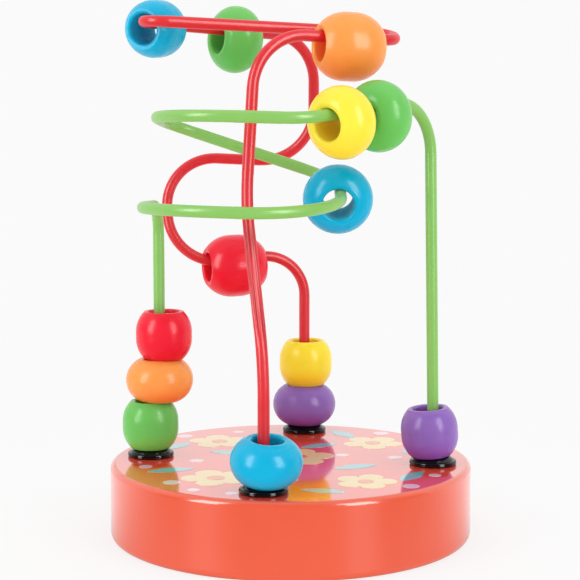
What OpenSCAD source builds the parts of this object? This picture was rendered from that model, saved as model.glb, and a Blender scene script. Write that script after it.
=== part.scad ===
// Bead maze: a round wooden base, two sleeved wires bent into open loops, and fourteen wooden
// beads that slide along them. Millimetres, +Z up, origin at the centre of the base's underside.

/* [Base] */
// Diameter of the round wooden base
base_d = 96; // [92:1:106]
// Height of the base
base_h = 20; // [18:0.5:26]
// Rounding of the base's top edge
base_top_round = 1.5; // [0.8:0.1:2.5]
// Rounding of the edge of the underside
base_foot_round = 2; // [1:0.1:3]
// Distance from the base's edge to the centre of each wire hole
hole_margin = 10; // [8:0.5:12]
// Depth of each wire hole, drilled from the top
hole_depth = 14; // [12.5:0.5:16]
// Angle of the front wire hole, seen from above
front_angle = -100; // [-105:0.5:-95]
// Angle of the right wire hole
right_angle = -8.5; // [-14:0.5:-4]
// Angle of the back wire hole
back_angle = 84; // [80:0.5:90]
// Angle of the left wire hole
left_angle = 173; // [168:0.5:178]

/* [Caps] */
// Diameter of the plastic cap's flange
cap_d = 12.4; // [11:0.1:14]
// Height of the flange's upright edge above the base
cap_edge_h = 1.3; // [1:0.1:1.4]
// Rounding of that edge, above and below
cap_edge_round = 0.5; // [0.2:0.1:0.5]
// Radius of the dome on the flange, which the lowest bead sits on
cap_dome_r = 7.2; // [7:0.1:7.6]
// Height above the base at which the dome would reach the flange's edge
cap_dome_start = 0.3; // [0.2:0.1:0.6]
// Diameter of the cap's stem, which plugs the wire hole
cap_stem_d = 8; // [7:0.1:9]
// Length of the stem
cap_stem_len = 12; // [9:0.5:12]
// Diameter of the two glue grooves round the stem
cap_groove_d = 7; // [6:0.1:7.6]
// Gap all round the stem in its hole, and round the wire in its cap
cap_clearance = 0.05; // [0.03:0.01:0.1]

/* [Wires] */
// Diameter of the bent steel wire
wire_d = 2; // [1.6:0.1:2.2]
// Wall of the coloured plastic sleeve over the wire
sleeve_wall = 0.45; // [0.35:0.05:0.6]
// Gap all round the wire in its sleeve
sleeve_clearance = 0.05; // [0.03:0.01:0.08]
// How far the left leg steps sideways above its cap
left_leg_step = 2.6; // [1.5:0.1:3.2]
// How far the right leg leans sideways up to the high loop
right_leg_lean = 1.6; // [1:0.1:2]
// Height of the red top loop above the base, which all other loops follow
top_loop_h = 114; // [98:0.5:124]
// How far the high green loop lies below the top loop
high_loop_drop = 22; // [21:0.5:25]
// How far the low green loop lies below the high one
low_loop_drop = 22; // [20:0.5:24]
// How far the upper strand of the red back curve lies below the top loop
back_curve_drop = 36; // [34:0.5:40]
// How far the lower strand of the back curve lies below its upper one
back_strand_drop = 28; // [26:0.5:30]

/* [Beads] */
// Diameter of the hole through every bead
bead_bore_d = 8; // [7.4:0.1:8.4]
// Rounding of the hole's rim
bead_rim = 0.7; // [0.4:0.1:0.9]
// Diameter of a round bead
round_d = 18; // [16:0.1:19]
// Length of a round bead
round_len = 11.4; // [10:0.1:12]
// Diameter of a barrel bead
barrel_d = 15; // [14:0.1:16]
// Length of a barrel bead
barrel_len = 12.8; // [11:0.1:13]
// Diameter of an oval bead
oval_d = 17.5; // [16:0.1:19]
// Length of an oval bead
oval_len = 16.3; // [15:0.1:17]
// Width of the flat ring at each end of a bead, outside the rim's rounding
bead_land = 0.5; // [0.3:0.1:1]
// Gap between the wire and the top of the hole in a bead that hangs
hang_clearance = 0.15; // [0.1:0.05:0.3]
// Gap between a cap's dome and the rim of the bead that sits on it
seat_clearance = 0.03; // [0.02:0.01:0.06]

/* [Bead places] */
// Distance of the top orange bead along its strand
top_orange_at = 26; // [24:0.5:27]
// Distance of the top blue bead along its strand
top_blue_at = 18; // [17:0.5:19]
// Distance of the top green bead along its strand
top_green_at = 20; // [14:0.5:24]
// Distance of the middle red bead along its strand
middle_red_at = 18; // [17.5:0.5:22]
// Distance of the upper yellow bead along its strand
upper_yellow_at = 12.5; // [12:0.5:14]
// Distance of the upper green bead along its strand
upper_green_at = 27; // [26:0.5:29]
// Distance of the lower blue bead along its strand
lower_blue_at = 32; // [29:0.5:35]

/* [Hidden] */
$fn = 96;

coral = "#F26A50";
black = "#1B1B1D";
steel = "#B9BCC0";
red = "#E8343C";
leaf = "#8CCB62";
blue = "#06B4DF";
orange = "#F98F45";
yellow = "#FDE34D";
gold = "#FFC81E";
green = "#6DC063";
crimson = "#EE2238";
purple = "#8560AC";

// The sleeve's bore and its outer diameter
sleeve_bore_d = wire_d + 2 * sleeve_clearance;
sleeve_d = sleeve_bore_d + 2 * sleeve_wall;
// A bend is drawn this much thinner than the straight runs, which lap over its ends
bend_thinning = 0.06;
// How far a straight run laps over each bend
run_lap = 0.25;
// How far a cut runs past the face that it opens
cut_over = 0.5;

// The places of the four wire holes
hole_circle_r = base_d / 2 - hole_margin;
function hole_at(angle) = hole_circle_r * [cos(angle), sin(angle)];
front_hole = hole_at(front_angle);
right_hole = hole_at(right_angle);
back_hole = hole_at(back_angle);
left_hole = hole_at(left_angle);
hole_d = cap_stem_d + 2 * cap_clearance;

// Height of the hole's floor
hole_floor_z = base_h - hole_depth;
// Height of the middle of each cap's dome
dome_z = base_h + cap_dome_start - sqrt(pow(cap_dome_r, 2) - pow(cap_d / 2, 2));
// Height of the lower face of a bead whose rim sits on a dome
seat_reach = cap_dome_r + bead_rim + seat_clearance;
seat_z = dome_z + sqrt(pow(seat_reach, 2) - pow(bead_bore_d / 2 + bead_rim, 2)) - bead_rim;

// Length of each leg that stands straight up from the base before it may lean
leg_straight = 7;
// Bend radii: a slight lean, the slow bend of the front leg, and the tight turns of the top loop
lean_r = 30;
slow_r = 60;
turn_r = 6;
// The back curve's bends take at most these shares of the drop that they bridge
curve_share = 0.42;
strand_share = 0.5;
// Height over which the left leg makes its sideways step
left_step_rise = 25;
// How far below the low loop the front leg starts to lean back
front_lean_drop = 38;

// Heights of the loops above the base
high_loop_h = top_loop_h - high_loop_drop;
low_loop_h = high_loop_h - low_loop_drop;
back_curve_h = top_loop_h - back_curve_drop;
back_strand_h = back_curve_h - back_strand_drop;
front_lean_h = low_loop_h - front_lean_drop;

// One corner of a wire: its place, its height above the base, and the radius of the bend there
function corner(place, height, r = 0) = [place.x, place.y, base_h + height, r];
left_top = left_hole + [left_leg_step, 0];
right_top = right_hole - [right_leg_lean, 0];

// Places of the green loops' corners, seen from above
low_front_left = [-39, -44];
low_front_right = [12.5, -44];
low_back_right = [12.8, 6];
high_back_left = [-33.3, 6];
high_front_left = [-32.9, -42.5];
high_front_right = [4, -42.5];

// Corners of the green wire, from the left leg round both loops to the right leg
green_route = [
    corner(left_hole, -hole_depth),
    corner(left_hole, leg_straight, lean_r),
    corner(left_top, leg_straight + left_step_rise, lean_r),
    corner(left_top, low_loop_h - 2.3, 8),
    corner(low_front_left, low_loop_h, 24),
    corner(low_front_right, low_loop_h - 1.5, 24),
    corner(low_back_right, low_loop_h + 4.2, 10.5),
    corner(high_back_left, high_loop_h - 2.5, 9),
    corner(high_front_left, high_loop_h + 0.5, 20),
    corner(high_front_right, high_loop_h - 0.5, 14),
    corner(right_top, high_loop_h + 4, 13),
    corner(right_hole, leg_straight, lean_r),
    corner(right_hole, -hole_depth),
];

// Places of the red wire's corners above its front leg, in its top loop and in its back curve
leg_upper = [-11, -26.5];
leg_top = [-8.6, -22];
top_front_right = [27.2, -5];
top_back_right = [26.2, 8];
top_front_left = [-41.4, -15];
top_back_left = [-32, 7.2];
curve_top = [6.5, 30];
curve_right = [6.5, back_hole.y];
curve_upper_left = [-36, back_hole.y - 2.5];
curve_lower_left = [-33.3, back_hole.y - 10];

// Corners of the red wire, from the front leg round the top loop and the back curve to the back leg
red_route = [
    corner(front_hole, -hole_depth),
    corner(front_hole, front_lean_h, slow_r),
    corner(leg_upper, low_loop_h + 0.5, slow_r),
    corner(leg_top, top_loop_h - 1.8, 14.5),
    corner(top_front_right, top_loop_h - 3.3, turn_r),
    corner(top_back_right, top_loop_h - 1.1, turn_r),
    corner(top_front_left, top_loop_h + 1.7, 5),
    corner(top_back_left, top_loop_h + 1.1, 8),
    corner(curve_top, top_loop_h - 1.6, min(15, back_curve_drop * curve_share)),
    corner(curve_right, back_curve_h - 0.5, min(14.5, back_curve_drop * curve_share)),
    corner(curve_upper_left, back_curve_h + 1.5, min(13.5, back_strand_drop * strand_share)),
    corner(curve_lower_left, back_strand_h - 1, min(13.5, back_strand_drop * strand_share)),
    corner(back_hole, back_strand_h + 2, 11.5),
    corner(back_hole, -hole_depth),
];

// Vector helpers along a route: run i leaves corner i
function unit(v) = v / norm(v);
function point(route, i) = [route[i][0], route[i][1], route[i][2]];
function heading(route, i) = unit(point(route, i + 1) - point(route, i));
function turn(route, i) = acos(heading(route, i - 1) * heading(route, i));
function is_bend(route, i) = i > 0 && i < len(route) - 1;
function setback(route, i) = is_bend(route, i) ? route[i][3] * tan(turn(route, i) / 2) : 0;
function run_length(route, i) = norm(point(route, i + 1) - point(route, i));

// Stands a piece's own Z axis along a direction, at a place
module along(place, direction) {
    translate(place)
        rotate([0, acos(direction.z), atan2(direction.y, direction.x)])
            children();
}

// A straight run between two bends. The first and last runs are drawn longer by end_extra.
module run(route, i, d, end_extra) {
    last = len(route) - 2;
    start_lap = i == 0 ? end_extra : run_lap;
    end_lap = i == last ? end_extra : run_lap;
    start = setback(route, i) - start_lap;
    end = run_length(route, i) - setback(route, i + 1) + end_lap;
    along(point(route, i) + heading(route, i) * start, heading(route, i))
        cylinder(d = d, h = end - start);
}

// The round bend at corner i, from the end of one run to the start of the next
module bend(route, i, d) {
    r = route[i][3];
    ahead = heading(route, i - 1);
    axis = unit(cross(ahead, heading(route, i)));
    outward = cross(ahead, axis);
    centre = point(route, i) - ahead * setback(route, i) - outward * r;
    multmatrix([
        [outward.x, ahead.x, axis.x, centre.x],
        [outward.y, ahead.y, axis.y, centre.y],
        [outward.z, ahead.z, axis.z, centre.z],
        [0, 0, 0, 1],
    ])
        rotate_extrude(angle = turn(route, i))
            translate([r, 0])
                circle(d = d);
}

// A round rod bent along a route
module bent_rod(route, d, end_extra = 0) {
    for (i = [0 : len(route) - 2])
        run(route, i, d, end_extra);
    for (i = [1 : len(route) - 2])
        bend(route, i, d - bend_thinning);
}

// A plastic tube over the wire. It starts at the lower end of each cap's stem.
module sleeve(route) {
    short = cap_stem_len - hole_depth;
    difference() {
        bent_rod(route, sleeve_d, short);
        bent_rod(route, sleeve_bore_d, short + cut_over);
    }
}

// A flat-ended bead with a bulging side: the half outline, beside the Z axis. A bead too long for one
// arc no flatter than a ball has two ball shoulders with a narrow belt between them.
module bead_outline(d, length) {
    bore_r = bead_bore_d / 2;
    land_r = bore_r + bead_rim + bead_land;
    bulge = d / 2 - land_r;
    arc_r = (pow(length / 2, 2) + pow(bulge, 2)) / (2 * bulge);
    side_r = min(arc_r, d / 2);
    belt = arc_r > side_r ? length - 2 * sqrt(bulge * (2 * side_r - bulge)) : 0;
    rim_x = bore_r + bead_rim;
    rim_y = length / 2 - bead_rim;
    difference() {
        intersection() {
            union() {
                for (end = belt > 0 ? [-1, 1] : [0])
                    translate([d / 2 - side_r, end * belt / 2])
                        circle(r = side_r);
                if (belt > 0)
                    translate([0, -belt / 2])
                        square([d / 2, belt]);
            }
            translate([bore_r, -length / 2])
                square([d, length]);
        }
        for (end = [-1, 1])
            scale([1, end])
                difference() {
                    translate([bore_r - cut_over, rim_y])
                        square([bead_rim + cut_over, bead_rim + cut_over]);
                    translate([rim_x, rim_y])
                        circle(r = bead_rim);
                }
    }
}

module bead(d, length, shade) {
    color(shade)
        rotate_extrude()
            bead_outline(d, length);
}

module round_bead(shade) { bead(round_d, round_len, shade); }
module barrel_bead(shade) { bead(barrel_d, barrel_len, shade); }
module oval_bead(shade) { bead(oval_d, oval_len, shade); }

// How far below the wire's centre a hanging bead's own centre line lies
hang = (bead_bore_d - sleeve_d) / 2 - hang_clearance;

// Hangs a bead on run i, at a distance along it. Lift raises it, side moves it to the left of the run,
// tip turns its far end down and swing turns its far end to the right.
module hang_on(route, i, distance, lift = 0, tip = 0, side = 0, swing = 0) {
    d = heading(route, i);
    level = unit(cross([0, 0, 1], d));
    up = cross(d, level);
    ahead = d * cos(swing) - level * sin(swing);
    axis = ahead * cos(tip) - up * sin(tip);
    along(point(route, i) + d * distance - up * (hang - lift) + level * side, axis)
        children();
}

// Seats a bead on a cap's dome. It leans about the middle of the dome, towards an angle seen from above.
module seat_on(hole, length, lean = 0, towards = 0) {
    axis = [sin(lean) * cos(towards), sin(lean) * sin(towards), cos(lean)];
    along([hole.x, hole.y, dome_z] + axis * (seat_z - dome_z + length / 2), axis)
        children();
}

// Stands a bead on the one below it, with its lower face at a height, shifted within its hole's slack
module stand_at(hole, shift, height, length) {
    translate([hole.x + shift, hole.y, height + length / 2])
        children();
}

// Sideways place of the left leg at a height above the base
function left_leg_shift(z) =
    left_leg_step * min(1, max(0, (z - base_h - leg_straight) / left_step_rise));

// Heights of the stacked beads, each on the one below
left_orange_z = seat_z + barrel_len;
left_red_z = left_orange_z + round_len;
back_yellow_z = seat_z + round_len;

// Rest of each stacked bead against one side of its hole: how far its centre lies from the wire's
left_orange_slack = 1.1;
left_red_slack = 1.2;
back_yellow_slack = 0.4;
// Two lone beads lean on their caps, the front one towards the viewer's right
front_blue_lean = 7;
front_blue_towards = -60;
right_purple_lean = 4.6;
right_purple_towards = 180;
// Four beads hang near the end of a bend, so they lie higher or turn a little in their slack
top_orange_lift = 0.1;
top_orange_swing = 4.5;
top_blue_lift = 1;
top_blue_tip = -4;
top_blue_side = 0.8;
top_blue_swing = 5;
middle_red_lift = 0.6;
middle_red_tip = 3;
middle_red_swing = -5;
lower_blue_lift = 0.6;
lower_blue_tip = -6;
lower_blue_side = 0.6;

// The wooden base: a turned disc with rounded edges and four drilled holes
module base() {
    r = base_d / 2;
    color(coral)
        difference() {
            rotate_extrude() {
                square([r - base_foot_round, base_h - base_top_round]);
                translate([0, base_foot_round])
                    square([r - base_top_round, base_h - base_foot_round]);
                translate([0, base_foot_round])
                    square([r, base_h - base_top_round - base_foot_round]);
                translate([r - base_top_round, base_h - base_top_round])
                    circle(r = base_top_round);
                translate([r - base_foot_round, base_foot_round])
                    circle(r = base_foot_round);
            }
            for (place = [front_hole, right_hole, back_hole, left_hole])
                translate([place.x, place.y, hole_floor_z])
                    cylinder(d = hole_d, h = hole_depth + cut_over);
        }
}

// A plastic cap: a domed flange with a rounded edge, a grooved stem in the hole and a bore for the wire
module cap(hole) {
    groove_h = 1.5;
    bore_d = sleeve_d + 2 * cap_clearance;
    edge_r = cap_d / 2 - cap_edge_round;
    color(black)
        translate([hole.x, hole.y, base_h])
            difference() {
                union() {
                    rotate_extrude() {
                        intersection() {
                            translate([0, dome_z - base_h])
                                circle(r = cap_dome_r);
                            square([edge_r, cap_dome_r]);
                        }
                        square([edge_r, cap_edge_h]);
                        translate([0, cap_edge_round])
                            square([cap_d / 2, cap_edge_h - 2 * cap_edge_round]);
                        for (height = [cap_edge_round, cap_edge_h - cap_edge_round])
                            translate([edge_r, height])
                                circle(r = cap_edge_round);
                    }
                    translate([0, 0, -cap_stem_len])
                        cylinder(d = cap_stem_d, h = cap_stem_len + cap_edge_h);
                }
                translate([0, 0, -cap_stem_len - cut_over])
                    cylinder(d = bore_d, h = cap_stem_len + cap_dome_r + cut_over);
                for (k = [1, 2])
                    translate([0, 0, -cap_stem_len * k / 3 - groove_h / 2])
                        difference() {
                            cylinder(d = cap_d, h = groove_h);
                            cylinder(d = cap_groove_d, h = groove_h);
                        }
            }
}

module front_cap() { cap(front_hole); }
module right_cap() { cap(right_hole); }
module back_cap() { cap(back_hole); }
module left_cap() { cap(left_hole); }

// The two bent wires and their sleeves
module red_wire() { color(steel) bent_rod(red_route, wire_d); }
module red_sleeve() { color(red) sleeve(red_route); }
module green_wire() { color(steel) bent_rod(green_route, wire_d); }
module green_sleeve() { color(leaf) sleeve(green_route); }

// Beads on the red wire
module front_blue_bead() {
    seat_on(front_hole, round_len, front_blue_lean, front_blue_towards)
        round_bead(blue);
}
module top_orange_bead() {
    hang_on(red_route, 3, top_orange_at, top_orange_lift, swing = top_orange_swing)
        oval_bead(orange);
}
module top_blue_bead() {
    hang_on(red_route, 6, top_blue_at, top_blue_lift, top_blue_tip, top_blue_side, top_blue_swing)
        barrel_bead(blue);
}
module top_green_bead() {
    hang_on(red_route, 7, top_green_at)
        round_bead(green);
}
module middle_red_bead() {
    hang_on(red_route, 11, middle_red_at, middle_red_lift, middle_red_tip, swing = middle_red_swing)
        oval_bead(crimson);
}
module back_purple_bead() {
    seat_on(back_hole, round_len)
        round_bead(purple);
}
module back_yellow_bead() {
    stand_at(back_hole, back_yellow_slack, back_yellow_z, barrel_len)
        barrel_bead(gold);
}

// Beads on the green wire
module left_green_bead() {
    seat_on(left_hole, barrel_len)
        barrel_bead(green);
}
module left_orange_bead() {
    shift = left_leg_shift(left_orange_z + round_len / 2) + left_orange_slack;
    stand_at(left_hole, shift, left_orange_z, round_len)
        round_bead(orange);
}
module left_red_bead() {
    shift = left_leg_shift(left_red_z + barrel_len / 2) + left_red_slack;
    stand_at(left_hole, shift, left_red_z, barrel_len)
        barrel_bead(crimson);
}
module lower_blue_bead() {
    hang_on(green_route, 5, lower_blue_at, lower_blue_lift, lower_blue_tip, lower_blue_side)
        round_bead(blue);
}
module upper_yellow_bead() {
    hang_on(green_route, 9, upper_yellow_at)
        round_bead(yellow);
}
module upper_green_bead() {
    hang_on(green_route, 9, upper_green_at)
        round_bead(green);
}
module right_purple_bead() {
    seat_on(right_hole, barrel_len, right_purple_lean, right_purple_towards)
        barrel_bead(purple);
}

base();
front_cap();
right_cap();
back_cap();
left_cap();
red_wire();
red_sleeve();
green_wire();
green_sleeve();
front_blue_bead();
top_orange_bead();
top_blue_bead();
top_green_bead();
middle_red_bead();
back_yellow_bead();
back_purple_bead();
left_green_bead();
left_orange_bead();
left_red_bead();
lower_blue_bead();
upper_yellow_bead();
upper_green_bead();
right_purple_bead();
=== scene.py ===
import math

import bpy
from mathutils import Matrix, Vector


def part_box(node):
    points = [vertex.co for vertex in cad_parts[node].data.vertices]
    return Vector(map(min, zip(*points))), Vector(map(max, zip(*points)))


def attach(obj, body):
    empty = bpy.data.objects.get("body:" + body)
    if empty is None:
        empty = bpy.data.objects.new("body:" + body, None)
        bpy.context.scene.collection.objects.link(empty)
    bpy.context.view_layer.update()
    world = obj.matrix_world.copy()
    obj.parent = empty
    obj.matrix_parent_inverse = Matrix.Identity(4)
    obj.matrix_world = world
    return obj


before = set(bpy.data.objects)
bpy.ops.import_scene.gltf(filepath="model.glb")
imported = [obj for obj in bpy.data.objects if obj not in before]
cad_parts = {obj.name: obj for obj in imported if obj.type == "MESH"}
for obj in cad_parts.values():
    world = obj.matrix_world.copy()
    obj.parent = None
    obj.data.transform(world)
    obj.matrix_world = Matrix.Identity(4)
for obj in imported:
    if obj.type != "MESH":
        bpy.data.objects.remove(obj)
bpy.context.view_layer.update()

MM = 0.001
base_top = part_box("base")[1].z

# Camera: in front of the maze and a little above its middle, looking slightly down.
camera_at = Vector((-0.00015, -0.44572, 0.11886))
camera_pitch = 0.119
focal_length = 105.41
sensor_width = 36.0
nearest_seen = 10 * MM

# Soft boxes: two tall lamps, left and right in front of the maze. Turns and lift are in degrees.
maze_middle = Vector((0, 0, 70 * MM))
left_turn = -54
right_turn = 44
lamp_lift = 20
lamp_distance = 1.2
lamp_width = 0.42
lamp_height = 1.0
highlight_radiance = 9.0
light_radiance = 2.0

# Surroundings: white paper behind and above, and a dim room in front that only gloss shows. A tilt says
# how much a direction's height counts beside its depth.
paper = "#FAFAFA"
dim_room = 0.04
mirrored_tilt = 0.7
mirrored_from, mirrored_to = -0.1, 0.6
front_fill = 1.16
back_fill = 0.82
fill_tilt = -0.8
fill_from, fill_to = -1.28, 1.0

# Floor: pale paper. Its shadow is whole up to one distance from the middle and gone at the next, and
# gloss sees it dim in front of one place and white behind the next.
floor_size = 6.0
floor_fill = 1.18
floor_grey = "#7A7A7A"
floor_glow = 0.8
shadow_whole, shadow_gone = 60 * MM, 160 * MM
floor_dim, floor_white = -80 * MM, 40 * MM


def linear(hexa):
    """The linear colour that a shader takes, from an sRGB hex value."""
    parts = [int(hexa[i:i + 2], 16) / 255 for i in (1, 3, 5)]
    return tuple(c / 12.92 if c <= 0.04045 else ((c + 0.055) / 1.055) ** 2.4 for c in parts) + (1.0,)


def add(tree, kind, inputs=None, **settings):
    """Adds a node with its settings. Each input takes a value, or a socket that is linked to it."""
    made = tree.nodes.new(kind)
    for name, value in settings.items():
        setattr(made, name, value)
    for key, value in (inputs or {}).items():
        if isinstance(value, bpy.types.NodeSocket):
            tree.links.new(value, made.inputs[key])
        else:
            made.inputs[key].default_value = value
    return made


def new_material(name):
    """An empty node material, its tree, and the place on the piece that its patterns read."""
    material = bpy.data.materials.new(name)
    material.use_nodes = True
    tree = material.node_tree
    tree.nodes.clear()
    return material, tree, add(tree, "ShaderNodeTexCoord").outputs["Object"]


def mottled(tree, place, patch, detail, colour, deep):
    """Soft patches of that size, and a shade that goes from deep to colour over them."""
    patches = add(tree, "ShaderNodeTexNoise", {"Vector": place, "Scale": 1 / patch, "Detail": detail})
    shade = add(tree, "ShaderNodeMix", {
        "Factor": patches.outputs["Fac"], "A": linear(deep), "B": linear(colour)}, data_type="RGBA")
    return patches.outputs["Fac"], shade.outputs["Result"]


def paint(obj, material):
    """Gives a piece that one material."""
    obj.data.materials.clear()
    obj.data.materials.append(material)
    for face in obj.data.polygons:
        face.material_index = 0


# Materials

# Openness of a bead's skin: at the first value it lies deep in the bore, at the second outside.
in_bore, in_open = 0.35, 0.85
# How much of a bead's plain colour is left at its foot, under the painted shade and bounce light of the
# lower half: 1 is as on the upper half, and 0 is all painted.
unshaded_at_foot = 0.45
bore_roughness = 0.7

# Creases of the red sleeve, on the leaning part of the front leg: its turn from upright about X and Y,
# the size of a crease, the heights between which creases begin and end, and how far back they reach
leg_lean = (math.radians(-15.8), math.radians(-6.6), 0.0)
crease_size = (0.7 * MM, 0.7 * MM, 30 * MM)
creases_begin = (52 * MM, 62 * MM)
creases_end = (80 * MM, 90 * MM)
creases_back = -15 * MM
# A crease's height on a scale of 0 to 1 at which its painted shade starts, and at which it is darkest
dark_from, dark_full = 0.52, 0.4


def bead_lacquer(name, colour, deep, painted_bore_and_foot, low, high):
    """Turned beech dipped in coloured lacquer: even colour, slow shade changes, soft-edged gloss, and
    painted shade in the bore and on the lower half.
    """
    material, tree, place = new_material(name)
    # Slow clouding of the dipped coat, about 6 mm across.
    cloud, shade = mottled(tree, place, 6 * MM, 2.0, colour, deep)
    # Painted shade and bounce light: the bore, found by ambient occlusion, and the lower half take a fuller
    # colour that stands in for the light and shade there.
    hollow = add(tree, "ShaderNodeAmbientOcclusion", {"Distance": 8 * MM}, only_local=True)
    outside = add(tree, "ShaderNodeMapRange", {
        "Value": hollow.outputs["AO"], "From Min": in_bore, "From Max": in_open},
        interpolation_type="SMOOTHSTEP")
    apart = add(tree, "ShaderNodeSeparateXYZ", {"Vector": place})
    upper = add(tree, "ShaderNodeMapRange", {
        "Value": apart.outputs["Z"], "From Min": low.z, "From Max": (low.z + high.z) / 2,
        "To Min": unshaded_at_foot}, interpolation_type="SMOOTHSTEP")
    unshaded = add(tree, "ShaderNodeMath", {
        0: outside.outputs["Result"], 1: upper.outputs["Result"]}, operation="MULTIPLY")
    shade = add(tree, "ShaderNodeMix", {
        "Factor": unshaded.outputs["Value"], "A": linear(painted_bore_and_foot), "B": shade}, data_type="RGBA")
    # Faint ripple of the dried lacquer, about 0.9 mm, coarser than the real one so that it shows.
    ripple = add(tree, "ShaderNodeTexNoise", {"Vector": place, "Scale": 1 / (0.9 * MM), "Detail": 1.0})
    bump = add(tree, "ShaderNodeBump", {
        "Height": ripple.outputs["Fac"], "Strength": 0.05, "Distance": 0.05 * MM})
    # The gloss varies a little with the clouding, and the drilled bore isn't polished.
    dull = add(tree, "ShaderNodeMapRange", {"Value": cloud, "To Min": 0.22, "To Max": 0.28})
    dull = add(tree, "ShaderNodeMix", {
        "Factor": outside.outputs["Result"], "A": bore_roughness, "B": dull.outputs["Result"]})
    skin = add(tree, "ShaderNodeBsdfPrincipled", {
        "Base Color": shade.outputs["Result"], "Roughness": dull.outputs["Result"], "IOR": 1.5,
        "Specular IOR Level": 0.3, "Normal": bump.outputs["Normal"],
        "Subsurface Weight": 0.6, "Subsurface Radius": (1.0, 0.7, 0.5), "Subsurface Scale": 4 * MM})
    add(tree, "ShaderNodeOutputMaterial", {"Surface": skin.outputs["BSDF"]})
    return material


def base_lacquer(name, colour, deep, turned):
    """Wood under a thick polished lacquer: strong colour below a clear mirror-like coat."""
    material, tree, place = new_material(name)
    # Slow clouding of the colour, about 14 mm across.
    _, shade = mottled(tree, place, 14 * MM, 2.0, colour, deep)
    # Long low waves of the polished coat, about 9 mm, which bend its reflections a little.
    wave = add(tree, "ShaderNodeTexNoise", {"Vector": place, "Scale": 1 / (9 * MM), "Detail": 1.0})
    bump = add(tree, "ShaderNodeBump", {
        "Height": wave.outputs["Fac"], "Strength": 0.15, "Distance": 0.04 * MM})
    inputs = {
        "Base Color": shade, "IOR": 1.5, "Normal": bump.outputs["Normal"], "Coat Weight": 1.0,
        "Coat Roughness": 0.07, "Coat IOR": 1.5, "Coat Normal": bump.outputs["Normal"]}
    if turned:
        # Fine rings left by the lathe spread the gloss across them, so it stands upright on the side.
        rings = add(tree, "ShaderNodeTangent", direction_type="RADIAL", axis="Z")
        inputs |= {
            "Roughness": 0.3, "Specular IOR Level": 0.4, "Anisotropic": 0.8,
            "Anisotropic Rotation": 0.25, "Tangent": rings.outputs["Tangent"]}
    else:
        # The flat face was sanded smooth before it was coated, so the gloss below the coat is sharp too.
        inputs |= {"Roughness": 0.08, "Specular IOR Level": 0.5}
    skin = add(tree, "ShaderNodeBsdfPrincipled", inputs)
    add(tree, "ShaderNodeOutputMaterial", {"Surface": skin.outputs["BSDF"]})
    return material


def sleeve_vinyl(name, colour, deep, painted_crease_shade):
    """Extruded soft vinyl tube: even colour, a clear line of gloss, lengthwise creases where it is bent,
    with painted shade in them.
    """
    material, tree, place = new_material(name)
    # Slow clouding of the vinyl, about 5 mm across.
    cloud, shade = mottled(tree, place, 5 * MM, 2.0, colour, deep)
    dull = add(tree, "ShaderNodeMapRange", {"Value": cloud, "To Min": 0.26, "To Max": 0.36})
    inputs = {"Base Color": shade, "Roughness": dull.outputs["Result"], "IOR": 1.53}
    if painted_crease_shade:
        along = add(tree, "ShaderNodeMapping", {
            "Vector": place, "Rotation": leg_lean, "Scale": crease_size}, vector_type="TEXTURE")
        crease = add(tree, "ShaderNodeTexNoise", {
            "Vector": along.outputs["Vector"], "Scale": 1.0, "Detail": 1.0})
        # The creases fade out below and above, and only the front leg has them.
        apart = add(tree, "ShaderNodeSeparateXYZ", {"Vector": place})
        rise = add(tree, "ShaderNodeMapRange", {
            "Value": apart.outputs["Z"], "From Min": creases_begin[0], "From Max": creases_begin[1]},
            interpolation_type="SMOOTHSTEP")
        fall = add(tree, "ShaderNodeMapRange", {
            "Value": apart.outputs["Z"], "From Min": creases_end[1], "From Max": creases_end[0]},
            interpolation_type="SMOOTHSTEP")
        front = add(tree, "ShaderNodeMath", {
            0: apart.outputs["Y"], 1: creases_back}, operation="LESS_THAN")
        zone = add(tree, "ShaderNodeMath", {
            0: rise.outputs["Result"], 1: fall.outputs["Result"]}, operation="MULTIPLY")
        reach = add(tree, "ShaderNodeMath", {
            0: zone.outputs["Value"], 1: front.outputs["Value"]}, operation="MULTIPLY")
        bump = add(tree, "ShaderNodeBump", {
            "Height": crease.outputs["Fac"], "Strength": reach.outputs["Value"], "Distance": 0.35 * MM})
        # Painted shade: the bottom of the creases is darkened, as shade falls there.
        folded = add(tree, "ShaderNodeMapRange", {
            "Value": crease.outputs["Fac"], "From Min": dark_from, "From Max": dark_full},
            interpolation_type="SMOOTHSTEP")
        dark = add(tree, "ShaderNodeMath", {
            0: folded.outputs["Result"], 1: reach.outputs["Value"]}, operation="MULTIPLY")
        shade = add(tree, "ShaderNodeMix", {
            "Factor": dark.outputs["Value"], "A": shade, "B": linear(painted_crease_shade)}, data_type="RGBA")
        inputs |= {"Base Color": shade.outputs["Result"], "Normal": bump.outputs["Normal"]}
    skin = add(tree, "ShaderNodeBsdfPrincipled", inputs)
    add(tree, "ShaderNodeOutputMaterial", {"Surface": skin.outputs["BSDF"]})
    return material


def cap_plastic(name, colour, deep):
    """Injection-moulded gloss ABS: near black, sharp small highlights, fine handling marks in the gloss."""
    material, tree, place = new_material(name)
    # Handling marks, about 1.2 mm across.
    marks, shade = mottled(tree, place, 1.2 * MM, 3.0, colour, deep)
    dull = add(tree, "ShaderNodeMapRange", {"Value": marks, "To Min": 0.07, "To Max": 0.15})
    skin = add(tree, "ShaderNodeBsdfPrincipled", {
        "Base Color": shade, "Roughness": dull.outputs["Result"], "IOR": 1.54, "Specular IOR Level": 0.4})
    add(tree, "ShaderNodeOutputMaterial", {"Surface": skin.outputs["BSDF"]})
    return material


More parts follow.
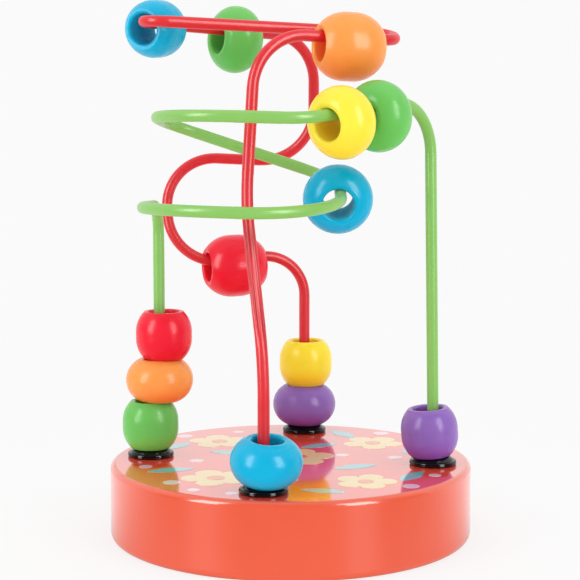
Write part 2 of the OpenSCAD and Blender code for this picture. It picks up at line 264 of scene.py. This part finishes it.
def drawn_steel(name, colour, deep):
    """Bright drawn steel wire: metal with fine marks of the die in its gloss."""
    material, tree, place = new_material(name)
    # Marks of the die, about 0.5 mm across.
    marks, shade = mottled(tree, place, 0.5 * MM, 2.0, colour, deep)
    dull = add(tree, "ShaderNodeMapRange", {"Value": marks, "To Min": 0.22, "To Max": 0.36})
    skin = add(tree, "ShaderNodeBsdfPrincipled", {
        "Base Color": shade, "Roughness": dull.outputs["Result"], "Metallic": 1.0})
    add(tree, "ShaderNodeOutputMaterial", {"Surface": skin.outputs["BSDF"]})
    return material


coral = base_lacquer("coral_lacquer_on_turned_wood", "#EA5B3A", "#E85434", True)
# The top face's coral is brighter than the side's: painted light from above.
coral_top_painted_lighter = base_lacquer("coral_lacquer_on_sanded_top_painted_lighter", "#FB5A44", "#F8523C", False)
black = cap_plastic("black_gloss_abs", "#0E0E11", "#09090B")
steel = drawn_steel("drawn_steel_wire", "#C4C7CB", "#A9ADB2")
red_vinyl = sleeve_vinyl("red_vinyl_tube", "#E2232E", "#DC1D28", "#B01420")
green_vinyl = sleeve_vinyl("light_green_vinyl_tube", "#8DC762", "#85C15A", None)
# Lacquers of the beads: main shade, darker shade, and the painted shade and bounce light of the bore and
# lower half
blue = ("#02B3DA", "#02ADD4", "#04AEDA")
orange = ("#FBA252", "#F99A4A", "#FF6A1E")
yellow = ("#FDE64A", "#FCE040", "#FFD026")
gold = ("#FFE63E", "#FFDE32", "#FFBE1C")
green = ("#74C665", "#6AC05B", "#5AC250")
# The left green bead's lower half is painted lighter, as light falling on it from below.
green_painted_lighter_below = ("#74C665", "#6AC05B", "#82E060")
red = ("#F02039", "#EA1A33", "#E40C24")
purple = ("#936EBC", "#8B65B5", "#8C46BC")
lacquer_of = {
    "front_blue_bead": blue,
    "top_orange_bead": orange, "top_blue_bead": blue, "top_green_bead": green,
    "middle_red_bead": red, "back_yellow_bead": gold, "back_purple_bead": purple,
    "left_green_bead": green_painted_lighter_below, "left_orange_bead": orange, "left_red_bead": red,
    "lower_blue_bead": blue, "upper_yellow_bead": yellow, "upper_green_bead": green,
    "right_purple_bead": purple,
}
finish_of = {
    "base": coral,
    "front_cap": black, "right_cap": black, "back_cap": black, "left_cap": black,
    "red_wire": steel, "green_wire": steel, "red_sleeve": red_vinyl, "green_sleeve": green_vinyl,
}
for name, material in finish_of.items():
    paint(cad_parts[name], material)
for name, shades in lacquer_of.items():
    paint(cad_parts[name], bead_lacquer(name + "_lacquer", *shades, *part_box(name)))

# The base's flat top face was sanded, and the rest of it was turned. The top face also takes a brighter
# coral, painted light for the light that falls on it from above.
flat_upwards = 0.999
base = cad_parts["base"]
base.data.materials.append(coral_top_painted_lighter)
for face in base.data.polygons:
    if face.normal.z > flat_upwards and face.center.z > base_top - 0.01 * MM:
        face.material_index = 1


# Print on the base's top: plain flowers, leaves and dots, one thin layer of ink for each colour

ink_thickness = 0.04 * MM
rim_points = 80
petals = 5
petal_notch = 0.62
petal_round = 0.6
flower_centre = 0.26
leaf_slimness = 2.5
leaf_fullness = 1.4
# Place in millimetres, size in millimetres and turn in degrees of each printed shape
flowers = [(2, 3, 10, 10), (-19, -22, 9, 40), (19, -26, 8, 0), (-20, 23, 8.5, 25), (23, 21, 8.5, 55)]
leaves = [
    (-7, -11, 6.5, 115), (-31, -13, 6.5, 20), (8, -36, 6, 165), (31, -20, 6, 60),
    (17, -9, 6.5, 25), (-16, 8, 6.5, 165), (-31, 17, 5.5, 60), (-8, 31, 6, 20),
    (15, 33, 6, 120), (33, 9, 6, 100), (8, 17.5, 6, 30),
]
dots = [
    (-30, -27, 2.2, 0), (-24, -35, 1.6, 0), (0, -24, 2, 0), (30, -31, 2.2, 0), (37, -19, 1.6, 0),
    (-14.5, -38.5, 1.6, 0), (-30, 30, 2.2, 0), (-15, 36, 1.6, 0), (26, 34, 2.2, 0), (38, 16, 1.8, 0),
    (-38, -9, 1.8, 0), (14, 5, 1.8, 0), (-8, 16, 2, 0), (28, 2, 2, 0), (-25, -2, 2, 0),
]


def flower_rim(angle):
    """Round petals: how far out the rim lies, as a share of the flower's size."""
    return petal_notch + (1 - petal_notch) * abs(math.cos(petals / 2 * angle)) ** petal_round


def leaf_rim(angle):
    """A pointed leaf: how far out its rim lies, as a share of half its length."""
    along, across = abs(math.cos(angle)), abs(leaf_slimness * math.sin(angle))
    return 1 / (along ** leaf_fullness + across ** leaf_fullness) ** (1 / leaf_fullness)


def disc_rim(angle):
    """A plain round spot."""
    return 1.0


def printed_layer(name, shapes, rim, share, below, material):
    """One colour of ink on as many layers below: a flat disc for each shape, its rim drawn to the
    outline at that share of its size, joined and thickened."""
    bpy.ops.object.select_all(action="DESELECT")
    made = []
    for x, y, size, turn in shapes:
        bpy.ops.mesh.primitive_circle_add(
            vertices=rim_points, radius=size * share * MM, fill_type="NGON")
        spot = bpy.context.object
        for point in spot.data.vertices:
            point.co *= rim(math.atan2(point.co.y, point.co.x))
        spot.rotation_euler.z = math.radians(turn)
        spot.location = (x * MM, y * MM, base_top + below * ink_thickness)
        made.append(spot)
    for spot in made:
        spot.select_set(True)
    bpy.context.view_layer.objects.active = made[0]
    bpy.ops.object.join()
    layer = bpy.context.object
    layer.name = name
    bpy.ops.object.transform_apply(location=True, rotation=True, scale=True)
    thicken = layer.modifiers.new("ink", "SOLIDIFY")
    thicken.thickness = ink_thickness
    thicken.offset = 1.0
    bpy.ops.object.modifier_apply(modifier=thicken.name)
    paint(layer, material)
    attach(layer, "frame")


printed_layer("printed_flowers", flowers, flower_rim, 1.0, 0,
              base_lacquer("pale_yellow_ink_under_lacquer", "#FBDD8C", "#F8D47C", False))
printed_layer("printed_flower_centres", flowers, disc_rim, flower_centre, 1,
              base_lacquer("orange_ink_under_lacquer", "#F58A3C", "#F08034", False))
printed_layer("printed_leaves", leaves, leaf_rim, 1.0, 0,
              base_lacquer("aqua_ink_under_lacquer", "#7CCAD0", "#70C0C8", False))
printed_layer("printed_dots", dots, disc_rim, 1.0, 0,
              base_lacquer("pale_pink_ink_under_lacquer", "#F9D8E4", "#F6CFDD", False))


# Studio

def soft_box(name, azimuth, radiance, for_gloss):
    """A tall lamp facing the maze, placed by its direction as seen from the maze's middle."""
    turn, lift = math.radians(azimuth), math.radians(lamp_lift)
    away = Vector((math.sin(turn) * math.cos(lift), -math.cos(turn) * math.cos(lift), math.sin(lift)))
    lamp = bpy.data.lights.new(name, "AREA")
    lamp.shape = "RECTANGLE"
    lamp.size, lamp.size_y = lamp_width, lamp_height
    lamp.energy = radiance * math.pi * lamp_width * lamp_height
    obj = bpy.data.objects.new(name, lamp)
    obj.location = maze_middle + away * lamp_distance
    obj.rotation_euler = away.to_track_quat("Z", "Y").to_euler()
    # One lamp of each pair is seen in the gloss; the dimmer one gives the light itself.
    obj.visible_diffuse = not for_gloss
    obj.visible_glossy = for_gloss
    bpy.context.scene.collection.objects.link(obj)


soft_box("left_highlight", left_turn, highlight_radiance, True)
soft_box("right_highlight", right_turn, highlight_radiance, True)
soft_box("left_light", left_turn, light_radiance, False)
soft_box("right_light", right_turn, light_radiance, False)


def paper_strength(tree, shed, mirrored):
    """How bright the paper is: shed as light, mirrored in gloss, and plain white to camera and glass."""
    rays = add(tree, "ShaderNodeLightPath")
    power = add(tree, "ShaderNodeMix", {
        "Factor": rays.outputs["Is Glossy Ray"], "A": shed, "B": mirrored})
    seen = add(tree, "ShaderNodeMath", {
        0: rays.outputs["Is Camera Ray"], 1: rays.outputs["Is Transmission Ray"]}, operation="MAXIMUM")
    power = add(tree, "ShaderNodeMix", {
        "Factor": seen.outputs["Value"], "A": power.outputs["Result"], "B": 1.0})
    return power.outputs["Result"]


# Gloss sees the paper behind and above; the other light comes from all round, most from above in front.
world = bpy.data.worlds.new("white_paper")
bpy.context.scene.world = world
world.use_nodes = True
sky = world.node_tree
sky.nodes.clear()
way = add(sky, "ShaderNodeSeparateXYZ", {"Vector": add(sky, "ShaderNodeTexCoord").outputs["Generated"]})
behind = add(sky, "ShaderNodeMath", {
    0: way.outputs["Z"], 1: mirrored_tilt, 2: way.outputs["Y"]}, operation="MULTIPLY_ADD")
mirrored = add(sky, "ShaderNodeMapRange", {
    "Value": behind.outputs["Value"], "From Min": mirrored_from, "From Max": mirrored_to,
    "To Min": dim_room, "To Max": 1.0}, interpolation_type="SMOOTHSTEP")
low_behind = add(sky, "ShaderNodeMath", {
    0: way.outputs["Z"], 1: fill_tilt, 2: way.outputs["Y"]}, operation="MULTIPLY_ADD")
fill = add(sky, "ShaderNodeMapRange", {
    "Value": low_behind.outputs["Value"], "From Min": fill_from, "From Max": fill_to,
    "To Min": front_fill, "To Max": back_fill})
light = add(sky, "ShaderNodeBackground", {
    "Color": linear(paper),
    "Strength": paper_strength(sky, fill.outputs["Result"], mirrored.outputs["Result"])})
add(sky, "ShaderNodeOutputWorld", {"Surface": light.outputs["Background"]})

# Floor: pale paper that keeps a soft shadow near the base and runs into the white behind it.
bpy.ops.object.select_all(action="DESELECT")
bpy.ops.mesh.primitive_plane_add(size=floor_size, location=(0, 0, 0))
floor = bpy.context.object
floor.name = "floor"
floor_paper, tree, place = new_material("floor_paper")
distance = add(tree, "ShaderNodeVectorMath", {0: place}, operation="LENGTH")
far = add(tree, "ShaderNodeMapRange", {
    "Value": distance.outputs["Value"], "From Min": shadow_whole, "From Max": shadow_gone},
    interpolation_type="SMOOTHSTEP")
apart = add(tree, "ShaderNodeSeparateXYZ", {"Vector": place})
mirrored = add(tree, "ShaderNodeMapRange", {
    "Value": apart.outputs["Y"], "From Min": floor_dim, "From Max": floor_white,
    "To Min": dim_room, "To Max": 1.0}, interpolation_type="SMOOTHSTEP")
power = paper_strength(tree, floor_fill, mirrored.outputs["Result"])
plain = add(tree, "ShaderNodeEmission", {"Color": linear(paper), "Strength": power})
glow_power = add(tree, "ShaderNodeMath", {0: power, 1: floor_glow}, operation="MULTIPLY")
glow = add(tree, "ShaderNodeEmission", {"Color": linear(paper), "Strength": glow_power.outputs["Value"]})
matt = add(tree, "ShaderNodeBsdfDiffuse", {"Color": linear(floor_grey)})
near = add(tree, "ShaderNodeAddShader", {0: matt.outputs["BSDF"], 1: glow.outputs["Emission"]})
both = add(tree, "ShaderNodeMixShader", {
    "Fac": far.outputs["Result"], 1: near.outputs["Shader"], 2: plain.outputs["Emission"]})
add(tree, "ShaderNodeOutputMaterial", {"Surface": both.outputs["Shader"]})
paint(floor, floor_paper)

# Camera at the photograph's angle.
lens = bpy.data.cameras.new("camera")
lens.lens = focal_length
lens.sensor_width = sensor_width
lens.clip_start = nearest_seen
camera = bpy.data.objects.new("camera", lens)
camera.location = camera_at
camera.rotation_euler = (math.pi / 2 - camera_pitch, 0, 0)
bpy.context.scene.collection.objects.link(camera)
bpy.context.scene.camera = camera
bpy.context.scene.view_settings.view_transform = "Standard"
